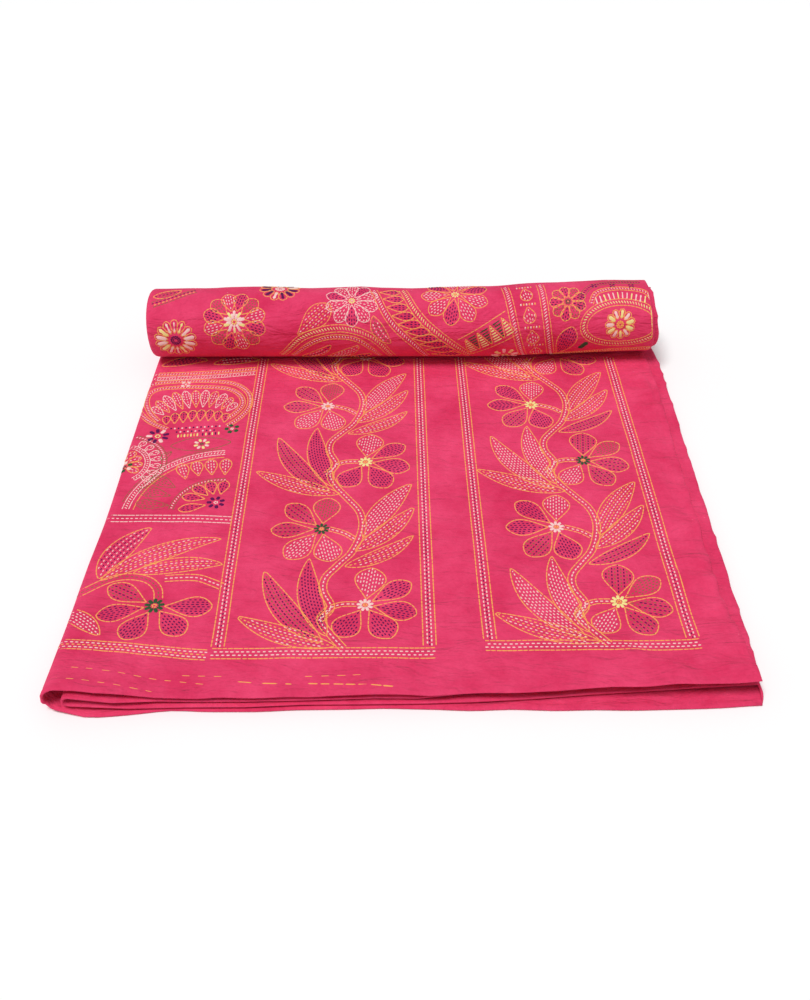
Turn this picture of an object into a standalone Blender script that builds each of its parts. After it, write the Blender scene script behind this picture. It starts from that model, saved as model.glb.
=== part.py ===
"""A cotton kantha quilt, folded in four across its width and rolled up from its far end.

The quilt is one hemmed sheet. Its section, seen from the front, runs from the top layer's hem on the
right to the outer fold on the left, back under the stack, round the right fold, to the inner fold on
the left, and out to the second hem on the right. That section lies flat at the front. Behind, the
whole stack curls up at the back, over the top and down in front, and winds on inwards.

Metres, +X to the quilt's right, +Y away from the front hem, +Z up, floor at z = 0.
"""

import math

import bpy
import numpy as np

# Driving sizes of the folded and rolled quilt.
FOLDED_WIDTH = 0.580        # from the left fold's outside to the furthest hem on the right
FRONT_TO_ROLL = 0.5185      # from the front hem to the middle of the roll
ROLL_HEIGHT = 0.0472        # of the roll's middle above the floor
CORE_RADIUS = 0.005         # of the hole that is left down the middle of the roll

# The sheet. In the roll each layer keeps this pitch, so one turn of four layers is four pitches.
THICKNESS = 0.0022
LAYER_PITCH = 0.00288
LAYER_COUNT = 4
TURN_PITCH = LAYER_COUNT * LAYER_PITCH

# Where each layer ends across the width, measured in from the outermost point on that side.
TOP_HEM_INSET = 0.0155
TOP_HEM_INSET_AT_FRONT = 0.0075
SECOND_HEM_INSET = 0.0005
RIGHT_FOLD_INSET = 0.0065
RIGHT_FOLD_INSET_AT_FRONT = 0.0005
INNER_FOLD_INSET = 0.0048
INNER_FOLD_INSET_AT_FRONT = 0.0165
OUTER_FOLD_DEPTH = 0.0044   # how far the left fold's round end reaches across, in the roll
OUTER_FOLD_DEPTH_AT_FRONT = 0.0105
SMALL_FOLD_DEPTH = 0.0018
SMALL_FOLD_DEPTH_AT_FRONT = 0.0052

# The front of the stack is looser than the rest. This far back it has settled to even layers.
FRONT_LOOSE_LENGTH = 0.125

# The stack at its front edge. Across is the distance from the left fold's outside. The heights are
# those of the middle of each layer's cloth, from the bottom layer to the top one.
FRONT_HEIGHTS = {
    "across": (0.000, 0.018, 0.030, 0.046, 0.082, 0.135, 0.290, 0.430, 0.580),
    "bottom": (0.0052, 0.0030, 0.0014, 0.0011, 0.0011, 0.0011, 0.0011, 0.0011, 0.0011),
    "third": (0.0086, 0.0082, 0.0074, 0.0058, 0.0054, 0.0050, 0.0046, 0.0048, 0.0050),
    "second": (0.0150, 0.0166, 0.0160, 0.0138, 0.0106, 0.0088, 0.0084, 0.0088, 0.0094),
    "top": (0.0198, 0.0204, 0.0206, 0.0194, 0.0152, 0.0126, 0.0116, 0.0122, 0.0132),
}
# How far each layer's front hem lies behind the foremost line.
FRONT_SETBACKS = {
    "across": (0.000, 0.040, 0.110, 0.290, 0.370, 0.450, 0.530, 0.580),
    "bottom": (0.0060, 0.0000, 0.0050, 0.0065, 0.0055, 0.0045, 0.0060, 0.0085),
    "third": (0.0070, 0.0025, 0.0060, 0.0080, 0.0085, 0.0105, 0.0130, 0.0140),
    "second": (0.0080, 0.0050, 0.0075, 0.0110, 0.0155, 0.0210, 0.0255, 0.0275),
    "top": (0.0090, 0.0075, 0.0085, 0.0125, 0.0175, 0.0240, 0.0290, 0.0310),
}
LAYERS = ("bottom", "third", "second", "top")

# The roll isn't quite straight or even: its right end lies further back, and is a little fuller.
# It has its full shape from where it leaves the floor, and takes that shape from a little before.
RIGHT_END_BACK = 0.011
BACK_FROM_SHARE, BACK_TO_SHARE = 0.60, 1.0
BACK_STARTS_AT = 0.20      # along the length, where the right end begins to drift back
BACK_GROWS_OVER = 0.30
FULLNESS = {
    "across": (0.000, 0.060, 0.200, 0.390, 0.450, 0.530, 0.580),
    "scale": (0.965, 0.988, 0.985, 0.980, 1.018, 1.035, 1.010),
}
ROLL_SHAPE_FROM = 0.40

# The sides aren't quite straight. How far each leans outwards, from the front hem to the roll's end.
SIDES = {
    "along": (0.000, 0.120, 0.250, 0.480, 0.550, 0.660, 0.740, 0.810),
    "left": (0.0050, 0.0050, 0.0010, 0.0000, -0.0010, 0.0020, 0.0015, -0.0040),
    "right": (0.0050, 0.0065, 0.0080, 0.0120, 0.0050, -0.0020, 0.0055, 0.0010),
}

# Soft waves of the two upper layers, where they lie flat in front of the roll.
WAVES = {
    "height": (0.0010, 0.0007, 0.0006),
    "length_across": (0.210, 0.120, 0.330),
    "length_along": (0.330, 0.190, 0.110),
    "phase": (0.6, 2.1, 4.0),
}
WAVES_GROW_OVER = 0.06      # from the front hem
WAVES_FADE_FROM = 0.33      # along the length, so that none is left where the stack curls up
WAVES_FADE_OVER = 0.12
WAVES_CLEAR_OF_FOLD = 0.02  # from the left fold, where the waves begin
WAVES_WIDEN_OVER = 0.08

# Steps along each stretch of the section, and along the quilt's length.
SECTION_STEPS = {
    "top": 9, "outer fold": 7, "bottom": 6, "right fold": 5, "third": 5, "inner fold": 5, "second": 6,
}
FRONT_ROWS = (0.0, 0.012, 0.030, 0.058, 0.095, 0.150, 0.230, 0.320, 0.405, 0.475)
STEPS_PER_TURN = 16

CLOTH_PINK = (0.80, 0.045, 0.135, 1.0)
CLOTH_ROUGHNESS = 0.85
SHARP_ANGLE = math.radians(50)   # edges that turn more than this are shaded as edges


def clear_scene():
    for obj in list(bpy.data.objects):
        bpy.data.objects.remove(obj)


def eased(share):
    """0 to 1, level at both ends."""
    share = np.clip(share, 0.0, 1.0)
    return share * share * (3.0 - 2.0 * share)


def read_off(table, column, distance, places="across"):
    """A column of one of the tables at a distance across or along, eased from row to row."""
    places = table[places]
    values = table[column]
    distance = np.clip(distance, places[0], places[-1])
    row = np.clip(np.searchsorted(places, distance, side="right") - 1, 0, len(places) - 2)
    start = np.take(places, row)
    share = eased((distance - start) / (np.take(places, row + 1) - start))
    return np.take(values, row) * (1.0 - share) + np.take(values, row + 1) * share


def looseness(along):
    """1 at the front hem, 0 where the layers have settled."""
    return 1.0 - eased(along / FRONT_LOOSE_LENGTH)


def between(settled, at_front, along):
    return settled + (at_front - settled) * looseness(along)


def lift(across, along):
    """How far the soft waves lift the upper layers, which is never downwards."""
    total = np.zeros(np.broadcast(across, along).shape)
    for height, wide, long, phase in zip(*WAVES.values()):
        wave = np.sin(2 * math.pi * (across / wide + along / long) + phase)
        total = total + height * (1.0 + wave) / 2.0
    flat = eased(along / WAVES_GROW_OVER) * (1.0 - eased((along - WAVES_FADE_FROM) / WAVES_FADE_OVER))
    clear_of_fold = eased((across - WAVES_CLEAR_OF_FOLD) / WAVES_WIDEN_OVER)
    return total * flat * clear_of_fold


def layer_height(level, across, along):
    """Height of the middle of a layer's cloth in the stack, level 0 being the bottom layer."""
    settled = LAYER_PITCH * level + THICKNESS / 2
    loose = read_off(FRONT_HEIGHTS, LAYERS[level], across)
    waves = lift(across, along) if level >= 2 else 0.0
    return between(settled, loose, along) + waves


def straight(level, start, end, steps, along):
    """Points of a layer from one distance across to another, without the last one."""
    across = start + (end - start) * np.arange(steps) / steps
    return across, layer_height(level, across, along)


def fold(upper, lower, mouth, depth, steps, along):
    """Points round a fold that joins two layers, without the last one.

    It runs from the layer named first to the other one, through its round end. A negative depth
    reaches to the left, as both left folds do.
    """
    turn = math.pi * np.arange(steps) / steps
    first = layer_height(upper, mouth, along)
    last = layer_height(lower, mouth, along)
    across = mouth + depth * np.sin(turn)
    height = (first + last) / 2 + (first - last) / 2 * np.cos(turn)
    return across, height


def section(along):
    """The stack's section at one place along the length: across, height, and the layer's setback.

    It starts at the top layer's hem and ends at the second layer's hem.
    """
    half = THICKNESS / 2
    top_hem = FOLDED_WIDTH - between(TOP_HEM_INSET, TOP_HEM_INSET_AT_FRONT, along)
    second_hem = FOLDED_WIDTH - SECOND_HEM_INSET
    outer_depth = between(OUTER_FOLD_DEPTH, OUTER_FOLD_DEPTH_AT_FRONT, along)
    small_depth = between(SMALL_FOLD_DEPTH, SMALL_FOLD_DEPTH_AT_FRONT, along)
    outer_mouth = half + outer_depth
    inner_mouth = half + between(INNER_FOLD_INSET, INNER_FOLD_INSET_AT_FRONT, along) + small_depth
    right_tip = FOLDED_WIDTH - half - between(RIGHT_FOLD_INSET, RIGHT_FOLD_INSET_AT_FRONT, along)
    right_mouth = right_tip - SMALL_FOLD_DEPTH
    steps = SECTION_STEPS
    stretches = (
        straight(3, top_hem, outer_mouth, steps["top"], along),
        fold(3, 0, outer_mouth, -outer_depth, steps["outer fold"], along),
        straight(0, outer_mouth, right_mouth, steps["bottom"], along),
        fold(0, 1, right_mouth, SMALL_FOLD_DEPTH, steps["right fold"], along),
        straight(1, right_mouth, inner_mouth, steps["third"], along),
        fold(1, 2, inner_mouth, -small_depth, steps["inner fold"], along),
        straight(2, inner_mouth, second_hem, steps["second"], along),
        (np.array([second_hem]), np.array([layer_height(2, second_hem, along)])),
    )
    across = np.concatenate([stretch[0] for stretch in stretches])
    height = np.concatenate([stretch[1] for stretch in stretches])
    return across, height


def layer_weights():
    """How much each point of the section belongs to each layer, for its front setback."""
    steps = SECTION_STEPS
    runs = (("top", "top", "top"), ("outer fold", "top", "bottom"), ("bottom", "bottom", "bottom"),
            ("right fold", "bottom", "third"), ("third", "third", "third"),
            ("inner fold", "third", "second"), ("second", "second", "second"))
    weights = {layer: [] for layer in LAYERS}
    for stretch, first, last in runs:
        for share in np.arange(steps[stretch]) / steps[stretch]:
            for layer in LAYERS:
                weights[layer].append((layer == first) * (1 - share) + (layer == last) * share)
    for layer in LAYERS:
        weights[layer].append(float(layer == "second"))
    return {layer: np.array(weights[layer]) for layer in LAYERS}


def front_setback(across, weights):
    return sum(weights[layer] * read_off(FRONT_SETBACKS, layer, across) for layer in LAYERS)


def section_normals(across, height):
    """Unit normals of the section's line, to the left of its direction of travel."""
    step_across = np.gradient(across)
    step_height = np.gradient(height)
    length = np.hypot(step_across, step_height)
    return -step_height / length, step_across / length


def bend_into_roll(along, height):
    """Where a point of the stack goes: its y and z for a distance along the underside and a height."""
    wound = np.maximum(along - FRONT_TO_ROLL, 0.0)
    root = np.sqrt(ROLL_HEIGHT ** 2 - TURN_PITCH * wound / math.pi)
    angle = (ROLL_HEIGHT - root) * 2 * math.pi / TURN_PITCH
    radius = root - height
    y = np.minimum(along, FRONT_TO_ROLL) + radius * np.sin(angle)
    z = ROLL_HEIGHT - radius * np.cos(angle)
    return y, z


def lean(across, along):
    """How far a point moves to the right because a side leans outwards."""
    share = across / FOLDED_WIDTH
    left = read_off(SIDES, "left", along, "along")
    right = read_off(SIDES, "right", along, "along")
    return share * right - (1.0 - share) * left


def uneven(across, along, y, z):
    """The roll's fuller right end, and the way its axis drifts back there."""
    in_roll = eased((along - ROLL_SHAPE_FROM) / (FRONT_TO_ROLL - ROLL_SHAPE_FROM))
    scale = 1.0 + (read_off(FULLNESS, "scale", across) - 1.0) * in_roll
    past_middle = np.where(along > FRONT_TO_ROLL, y - FRONT_TO_ROLL, 0.0)
    share = across / FOLDED_WIDTH
    drift = RIGHT_END_BACK * eased((share - BACK_FROM_SHARE) / (BACK_TO_SHARE - BACK_FROM_SHARE))
    drift = drift * eased((along - BACK_STARTS_AT) / BACK_GROWS_OVER)
    return y + past_middle * (scale - 1.0) + drift, z * scale


def rows_along():
    """Distances along the length: closer at the front, and even steps of angle in the roll."""
    last_root = CORE_RADIUS + TURN_PITCH
    last_angle = (ROLL_HEIGHT - last_root) * 2 * math.pi / TURN_PITCH
    count = round(last_angle / (2 * math.pi) * STEPS_PER_TURN)
    angles = last_angle * np.arange(count + 1) / count
    roots = ROLL_HEIGHT - TURN_PITCH * angles / (2 * math.pi)
    wound = (ROLL_HEIGHT ** 2 - roots ** 2) * math.pi / TURN_PITCH
    return np.concatenate([FRONT_ROWS, FRONT_TO_ROLL + wound])


def sheet_points():
    """The two sides of the sheet, each an array of rows along the length by points of the section."""
    weights = layer_weights()
    sides = {1: [], -1: []}
    for along in rows_along():
        across, height = section(along)
        normal_across, normal_height = section_normals(across, height)
        for side, rows in sides.items():
            x = across + side * normal_across * THICKNESS / 2
            h = height + side * normal_height * THICKNESS / 2
            shift = front_setback(across, weights) * looseness(along)
            y, z = bend_into_roll(along + shift, h)
            y, z = uneven(x, along, y, z)
            rows.append(np.stack([x + lean(x, along) - FOLDED_WIDTH / 2, y, z], axis=1))
    return np.array(sides[1]), np.array(sides[-1])


def closed_sheet(name, first, second):
    """A closed mesh between two sides of the same grid."""
    rows, columns = first.shape[:2]
    side_size = rows * columns

    def index(side, row, column):
        return side * side_size + row * columns + column

    faces = []
    for row in range(rows - 1):
        for column in range(columns - 1):
            corners = ((row, column), (row, column + 1), (row + 1, column + 1), (row + 1, column))
            faces.append([index(0, *corner) for corner in corners])
            faces.append([index(1, *corner) for corner in reversed(corners)])
    rim = [(0, column) for column in range(columns)]
    rim += [(row, columns - 1) for row in range(1, rows)]
    rim += [(rows - 1, column) for column in range(columns - 2, -1, -1)]
    rim += [(row, 0) for row in range(rows - 2, 0, -1)]
    for here, there in zip(rim, rim[1:] + rim[:1]):
        faces.append([index(0, *there), index(0, *here), index(1, *here), index(1, *there)])
    points = np.concatenate([first.reshape(-1, 3), second.reshape(-1, 3)])
    mesh = bpy.data.meshes.new(name)
    mesh.from_pydata(points.tolist(), [], faces)
    mesh.validate()
    return mesh


def outward(mesh):
    """Turns the mesh's faces outwards if its signed volume says that they point in."""
    mesh.calc_loop_triangles()
    points = np.array([vertex.co for vertex in mesh.vertices])
    corners = points[np.array([triangle.vertices for triangle in mesh.loop_triangles])]
    volume = np.einsum("ij,ij->i", corners[:, 0], np.cross(corners[:, 1], corners[:, 2])).sum() / 6
    if volume < 0:
        mesh.flip_normals()


def centre_on_floor(mesh):
    """Moves the mesh so that the middle of its box is over the origin, as the frame says."""
    points = np.array([vertex.co for vertex in mesh.vertices])
    low, high = points.min(axis=0), points.max(axis=0)
    points -= ((low[0] + high[0]) / 2, (low[1] + high[1]) / 2, 0.0)
    mesh.vertices.foreach_set("co", points.ravel())
    mesh.update()


def cotton():
    material = bpy.data.materials.new("pink_cotton")
    material.use_nodes = True
    shader = material.node_tree.nodes["Principled BSDF"]
    shader.inputs["Base Color"].default_value = CLOTH_PINK
    shader.inputs["Roughness"].default_value = CLOTH_ROUGHNESS
    shader.inputs["Metallic"].default_value = 0.0
    return material


def build_quilt():
    first, second = sheet_points()
    mesh = closed_sheet("quilt", first, second)
    outward(mesh)
    centre_on_floor(mesh)
    mesh.shade_smooth()
    mesh.set_sharp_from_angle(angle=SHARP_ANGLE)
    quilt = bpy.data.objects.new("quilt", mesh)
    quilt.data.materials.append(cotton())
    bpy.context.scene.collection.objects.link(quilt)
    return quilt


clear_scene()
build_quilt()
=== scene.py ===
"""Looks of the kantha quilt: its fine cloth, its hand stitches, and the photo's camera and light.

The cloth is the part's own sheet, made again in small steps with hems, puckers and wrinkles. The
stitches are little ridges of thread, laid out in millimetres on the flat cloth and then carried onto it.
"""

import math

import bpy
import numpy as np
from mathutils import Matrix, Vector


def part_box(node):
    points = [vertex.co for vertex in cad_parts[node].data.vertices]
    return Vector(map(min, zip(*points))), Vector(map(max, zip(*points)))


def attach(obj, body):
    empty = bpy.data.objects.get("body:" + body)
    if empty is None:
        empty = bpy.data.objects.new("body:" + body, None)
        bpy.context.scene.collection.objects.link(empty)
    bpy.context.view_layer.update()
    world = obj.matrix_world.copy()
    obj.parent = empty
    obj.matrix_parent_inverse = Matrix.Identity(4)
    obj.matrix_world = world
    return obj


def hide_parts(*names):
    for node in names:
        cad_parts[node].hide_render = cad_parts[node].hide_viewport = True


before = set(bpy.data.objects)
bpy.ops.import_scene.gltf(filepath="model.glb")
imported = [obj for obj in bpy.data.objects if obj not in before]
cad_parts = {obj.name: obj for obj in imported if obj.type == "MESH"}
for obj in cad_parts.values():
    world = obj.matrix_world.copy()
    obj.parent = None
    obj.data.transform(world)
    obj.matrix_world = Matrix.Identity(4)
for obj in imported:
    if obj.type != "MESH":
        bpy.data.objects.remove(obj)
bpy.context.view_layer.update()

# The folded and rolled sheet, in metres, as in the part. Only the front of the layers at the right
# differs: the top one is lifted a little more, and the two under it lie further back in its shade.
FOLDED_WIDTH = 0.580
FRONT_TO_ROLL = 0.5185
ROLL_HEIGHT = 0.0472
CORE_RADIUS = 0.005
THICKNESS = 0.0022
LAYER_PITCH = 0.00288
TURN_PITCH = 4 * LAYER_PITCH
TOP_HEM_INSET = 0.0155
TOP_HEM_INSET_AT_FRONT = 0.0075
SECOND_HEM_INSET = 0.0005
RIGHT_FOLD_INSET = 0.0065
RIGHT_FOLD_INSET_AT_FRONT = 0.0005
INNER_FOLD_INSET = 0.0048
INNER_FOLD_INSET_AT_FRONT = 0.0165
OUTER_FOLD_DEPTH = 0.0044
OUTER_FOLD_DEPTH_AT_FRONT = 0.0105
SMALL_FOLD_DEPTH = 0.0018
SMALL_FOLD_DEPTH_AT_FRONT = 0.0052
FRONT_LOOSE_LENGTH = 0.125
FRONT_HEIGHTS = {
    "across": (0.000, 0.018, 0.030, 0.046, 0.082, 0.135, 0.290, 0.430, 0.580),
    "bottom": (0.0052, 0.0030, 0.0014, 0.0011, 0.0011, 0.0011, 0.0011, 0.0011, 0.0011),
    "third": (0.0086, 0.0082, 0.0074, 0.0058, 0.0054, 0.0050, 0.0046, 0.0048, 0.0050),
    "second": (0.0150, 0.0166, 0.0160, 0.0138, 0.0106, 0.0088, 0.0084, 0.0088, 0.0094),
    "top": (0.0198, 0.0204, 0.0206, 0.0194, 0.0152, 0.0126, 0.0124, 0.0152, 0.0184),
}
FRONT_SETBACKS = {
    "across": (0.000, 0.040, 0.110, 0.290, 0.370, 0.450, 0.530, 0.580),
    "bottom": (0.0060, 0.0000, 0.0050, 0.0065, 0.0055, 0.0045, 0.0060, 0.0085),
    "third": (0.0070, 0.0025, 0.0060, 0.0085, 0.0120, 0.0185, 0.0240, 0.0260),
    "second": (0.0080, 0.0050, 0.0075, 0.0115, 0.0190, 0.0270, 0.0330, 0.0350),
    "top": (0.0090, 0.0075, 0.0085, 0.0095, 0.0115, 0.0145, 0.0170, 0.0180),
}
LAYERS = ("bottom", "third", "second", "top")
RIGHT_END_BACK = 0.011
BACK_FROM_SHARE, BACK_TO_SHARE = 0.60, 1.0
BACK_STARTS_AT = 0.20
BACK_GROWS_OVER = 0.30
FULLNESS = {
    "across": (0.000, 0.060, 0.200, 0.390, 0.450, 0.530, 0.580),
    "scale": (0.965, 0.988, 0.985, 0.980, 1.018, 1.035, 1.010),
}
ROLL_SHAPE_FROM = 0.40
SIDES = {
    "along": (0.000, 0.120, 0.250, 0.480, 0.550, 0.660, 0.740, 0.810),
    "left": (0.0050, 0.0050, 0.0010, 0.0000, -0.0010, 0.0020, 0.0015, -0.0040),
    "right": (0.0050, 0.0065, 0.0080, 0.0120, 0.0050, -0.0020, 0.0055, 0.0010),
}
WAVES = {                  # the soft main waves of the upper layers
    "height": (0.0010, 0.0007, 0.0006),
    "length_across": (0.210, 0.120, 0.330),
    "length_along": (0.330, 0.190, 0.110),
    "phase": (0.6, 2.1, 4.0),
}
WAVES_GROW_OVER = 0.06
WAVES_FADE_FROM = 0.33
WAVES_FADE_OVER = 0.12
WAVES_CLEAR_OF_FOLD = 0.02
WAVES_WIDEN_OVER = 0.08

# What only the fine cloth has: thicker hems with a stitched dip, and the steps of its mesh.
HEM_DEPTH = 0.0085
HEM_FADE = 0.0015          # how softly the hem's thickness ends
STITCHED_DIP = 0.0013      # from the hem's inner line to the dip, and the dip's own half width
DIP_SHARE = 0.50           # of half the thickness, how deep the dip is
BODY_SHARE = 0.80          # of the full thickness, away from the hems
THINNEST_EDGE = 0.04       # keeps the two sides apart at the very edge
HEM_PLACES = (0.0, 0.00012, 0.0004, 0.0010, 0.0030, 0.0055, 0.0072, 0.0085, 0.0105)
PAST_HEM = 1.2             # the even steps begin this many hem depths in
CLOSER_TO_HEM = 1.2        # above 1, the even steps crowd towards the hem
STRAIGHT_LENGTH = 0.56     # of the top layer, for its hem's steps
STEPS = {
    "top": 84, "outer fold": 14, "bottom": 50, "right fold": 10, "third": 12, "inner fold": 8, "second": 16,
}
FRONT_STEP = 0.0045
STEPS_PER_TURN = 40

# Unevenness of the fine cloth. Each row of slack is a height, a cell's size across and along, and a seed.
TOP_SLACK = ((0.0014, 0.055, 0.045, 1), (0.0007, 0.021, 0.024, 2))
TOP_SLACK_FADES_FROM, TOP_SLACK_FADES_OVER = 0.43, 0.06
MARGIN_SLACK = ((0.0044, 0.040, 0.015, 3),)
MARGIN_FROM, MARGIN_GROWS_OVER = 0.525, 0.025
FRONT_SLACK = ((0.0022, 0.024, 0.06, 4),)
FRONT_SLACK_OVER = 0.04
ROLL_SLACK = ((0.0028, 0.060, 0.040, 5), (0.0009, 0.022, 0.018, 6))
ROLL_SLACK_FROM, ROLL_SLACK_GROWS_OVER = 0.030, 0.035
ROLL_SLACK_TO, ROLL_SLACK_FADES_OVER = 0.180, 0.030
FRONT_WOBBLE = (0.0, 0.0005, 0.0011, 0.0017)   # how far each layer's front rises and falls
FRONT_HEM_WOBBLE = 0.0026                      # how far the front hems bend in and out
PUCKER, PUCKER_LENGTH = 0.0036, 0.019          # of the side hems
NOISE_CELLS = (97, 89)                         # before the uneven values repeat
NOISE_START = 200.0                            # keeps every place on the grid's positive side

# Creases of the top layer: where each begins, across and along, where it ends, half its width, and how
# far it stands up.
CREASES = (
    (0.532, 0.402, 0.572, 0.388, 0.0055, 0.0020),
    (0.536, 0.276, 0.580, 0.256, 0.0060, 0.0024),
    (0.528, 0.150, 0.575, 0.138, 0.0065, 0.0018),
    (0.548, 0.330, 0.556, 0.190, 0.0060, -0.0012),
    (0.338, 0.046, 0.318, 0.006, 0.0070, 0.0018),
    (0.195, 0.166, 0.316, 0.163, 0.0060, 0.0008),
    (0.470, 0.048, 0.520, 0.012, 0.0080, 0.0018),
    (0.060, 0.040, 0.100, 0.012, 0.0075, -0.0012),
    (0.150, 0.020, 0.190, 0.034, 0.0070, 0.0014),
    (0.400, 0.024, 0.450, 0.038, 0.0075, 0.0014),
    (0.250, 0.036, 0.262, 0.006, 0.0060, 0.0012),
    (0.555, 0.210, 0.562, 0.080, 0.0050, 0.0014),
    (0.552, 0.452, 0.560, 0.380, 0.0050, 0.0014),
)
CREASE_SIDES = (0.6, 1.3)  # its far side is sharper than its near one
CREASE_FADE = 0.4          # of its length, over which each end fades

CLOTH = (0.80, 0.036, 0.125, 1.0)
CLOTH_DEEP = (0.72, 0.028, 0.108, 1.0)
CLOTH_BRIGHT = (0.91, 0.072, 0.190, 1.0)
THREADS = {
    "gold": (0.90, 0.40, 0.10, 1.0),
    "white": (0.90, 0.60, 0.56, 1.0),
    "plum": (0.105, 0.002, 0.075, 1.0),
    "green": (0.030, 0.085, 0.030, 1.0),
    "olive": (0.30, 0.120, 0.060, 1.0),
    "yellow": (0.86, 0.74, 0.28, 1.0),
}
RANDOM = np.random.default_rng(11)


def eased(share):
    """0 to 1, level at both ends."""
    share = np.clip(share, 0.0, 1.0)
    return share * share * (3.0 - 2.0 * share)


def read_off(table, column, distance, places="across"):
    """A column of one of the tables at a distance across or along, eased from row to row."""
    places = table[places]
    values = table[column]
    distance = np.clip(distance, places[0], places[-1])
    row = np.clip(np.searchsorted(places, distance, side="right") - 1, 0, len(places) - 2)
    start = np.take(places, row)
    share = eased((distance - start) / (np.take(places, row + 1) - start))
    return np.take(values, row) * (1.0 - share) + np.take(values, row + 1) * share


def looseness(along):
    """1 at the front hem, 0 where the layers have settled."""
    return 1.0 - eased(along / FRONT_LOOSE_LENGTH)


def between(settled, at_front, along):
    """A size that differs at the front hem and further back."""
    return settled + (at_front - settled) * looseness(along)


def noise(x, y, cell_x, cell_y, seed):
    """Smooth uneven values from 0 to 1 over the plane."""
    wide, long = NOISE_CELLS
    grid = np.random.default_rng(seed).random(NOISE_CELLS)
    u, v = np.asarray(x) / cell_x + NOISE_START, np.asarray(y) / cell_y + NOISE_START
    i, j = np.floor(u).astype(int), np.floor(v).astype(int)
    s, t = eased(u - i), eased(v - j)
    i, j, i1, j1 = i % wide, j % long, (i + 1) % wide, (j + 1) % long
    low = grid[i, j] * (1 - s) + grid[i1, j] * s
    high = grid[i, j1] * (1 - s) + grid[i1, j1] * s
    return low * (1 - t) + high * t


def slack(rows, across, along):
    """Soft uneven heights, from one of the tables of slack."""
    return sum(height * noise(across, along, *cells_and_seed) for height, *cells_and_seed in rows)


def lift(across, along):
    """How far the soft waves lift the upper layers."""
    total = np.zeros(np.broadcast(across, along).shape)
    for height, wide, long, phase in zip(*WAVES.values()):
        wave = np.sin(2 * math.pi * (across / wide + along / long) + phase)
        total = total + height * (1.0 + wave) / 2.0
    flat = eased(along / WAVES_GROW_OVER) * (1.0 - eased((along - WAVES_FADE_FROM) / WAVES_FADE_OVER))
    return total * flat * eased((across - WAVES_CLEAR_OF_FOLD) / WAVES_WIDEN_OVER)


def creases(across, along):
    """The creases that show best: soft ridges and troughs, each with a sharper far side."""
    total = 0.0
    for x0, y0, x1, y1, width, rise in CREASES:
        length = math.hypot(x1 - x0, y1 - y0)
        way_x, way_y = (x1 - x0) / length, (y1 - y0) / length
        on = ((across - x0) * way_x + (along - y0) * way_y) / length
        off = (along - y0) * way_x - (across - x0) * way_y
        reach = np.where(off > 0, *CREASE_SIDES) * width
        faded = eased(on / CREASE_FADE + 0.5) * eased((1.0 - on) / CREASE_FADE + 0.5)
        total = total + rise * np.exp(-((off / reach) ** 2)) * faded
    return total


def top_wrinkles(across, along):
    """Puckers, creases and slack of the top layer in front of the roll."""
    flat = 1.0 - eased((along - TOP_SLACK_FADES_FROM) / TOP_SLACK_FADES_OVER)
    margin = eased((across - MARGIN_FROM) / MARGIN_GROWS_OVER)
    at_front = 1.0 - eased(along / FRONT_SLACK_OVER)
    return flat * (slack(TOP_SLACK, across, along) + slack(MARGIN_SLACK, across, along) * margin
                   + slack(FRONT_SLACK, across, along) * at_front + creases(across, along))


def roll_wrinkles(across, along):
    """Slack of the roll's outside, which fades out where it lies on the floor or on the flat part."""
    wound = along - FRONT_TO_ROLL
    grown = eased((wound - ROLL_SLACK_FROM) / ROLL_SLACK_GROWS_OVER)
    faded = 1.0 - eased((wound - ROLL_SLACK_TO) / ROLL_SLACK_FADES_OVER)
    return grown * faded * slack(ROLL_SLACK, across, wound)


def front_wobble(level, across):
    """How much a layer rises and falls along the front."""
    return FRONT_WOBBLE[level] * (noise(across + 0.01 * level, 0.0 * across, 0.043, 1.0, 8) - 0.4)


def layer_height(level, across, along):
    """Height of the middle of a layer's cloth in the stack, level 0 being the bottom layer."""
    settled = LAYER_PITCH * level + THICKNESS / 2
    loose = read_off(FRONT_HEIGHTS, LAYERS[level], across) + front_wobble(level, across)
    height = between(settled, loose, along)
    if level >= 2:
        height = height + lift(across, along)
    if level == 3:
        height = height + top_wrinkles(across, along)
    if level == 0:
        height = height - roll_wrinkles(across, along)
    return height


def shares(steps, length, hem_first, hem_last):
    """Even shares from 0 up to, but without, 1, with closer ones along a hem."""
    even = (np.arange(steps) / steps) ** (CLOSER_TO_HEM if hem_first else 1.0)
    hem = np.array(HEM_PLACES) / length
    if hem_first:
        even = np.concatenate([hem, even[even > hem[-1] * PAST_HEM]])
    if hem_last:
        even = np.concatenate([even[even < 1.0 - hem[-1] * PAST_HEM], 1.0 - hem[::-1]])
    return even


def mouths(along):
    """Where the straight stretches of the section begin and end."""
    half = THICKNESS / 2
    pucker = PUCKER * (noise(along, 0.0 * along, PUCKER_LENGTH, 1.0, 7) - 0.5)
    outer_depth = between(OUTER_FOLD_DEPTH, OUTER_FOLD_DEPTH_AT_FRONT, along)
    small_depth = between(SMALL_FOLD_DEPTH, SMALL_FOLD_DEPTH_AT_FRONT, along)
    right_tip = FOLDED_WIDTH - half - between(RIGHT_FOLD_INSET, RIGHT_FOLD_INSET_AT_FRONT, along)
    return {
        "top hem": FOLDED_WIDTH - between(TOP_HEM_INSET, TOP_HEM_INSET_AT_FRONT, along) + 0.5 * pucker,
        "second hem": FOLDED_WIDTH - SECOND_HEM_INSET - np.abs(pucker),
        "outer depth": outer_depth,
        "small depth": small_depth,
        "outer": half + outer_depth,
        "inner": half + between(INNER_FOLD_INSET, INNER_FOLD_INSET_AT_FRONT, along) + small_depth,
        "right": right_tip - SMALL_FOLD_DEPTH - 0.4 * np.abs(pucker),
    }


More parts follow.
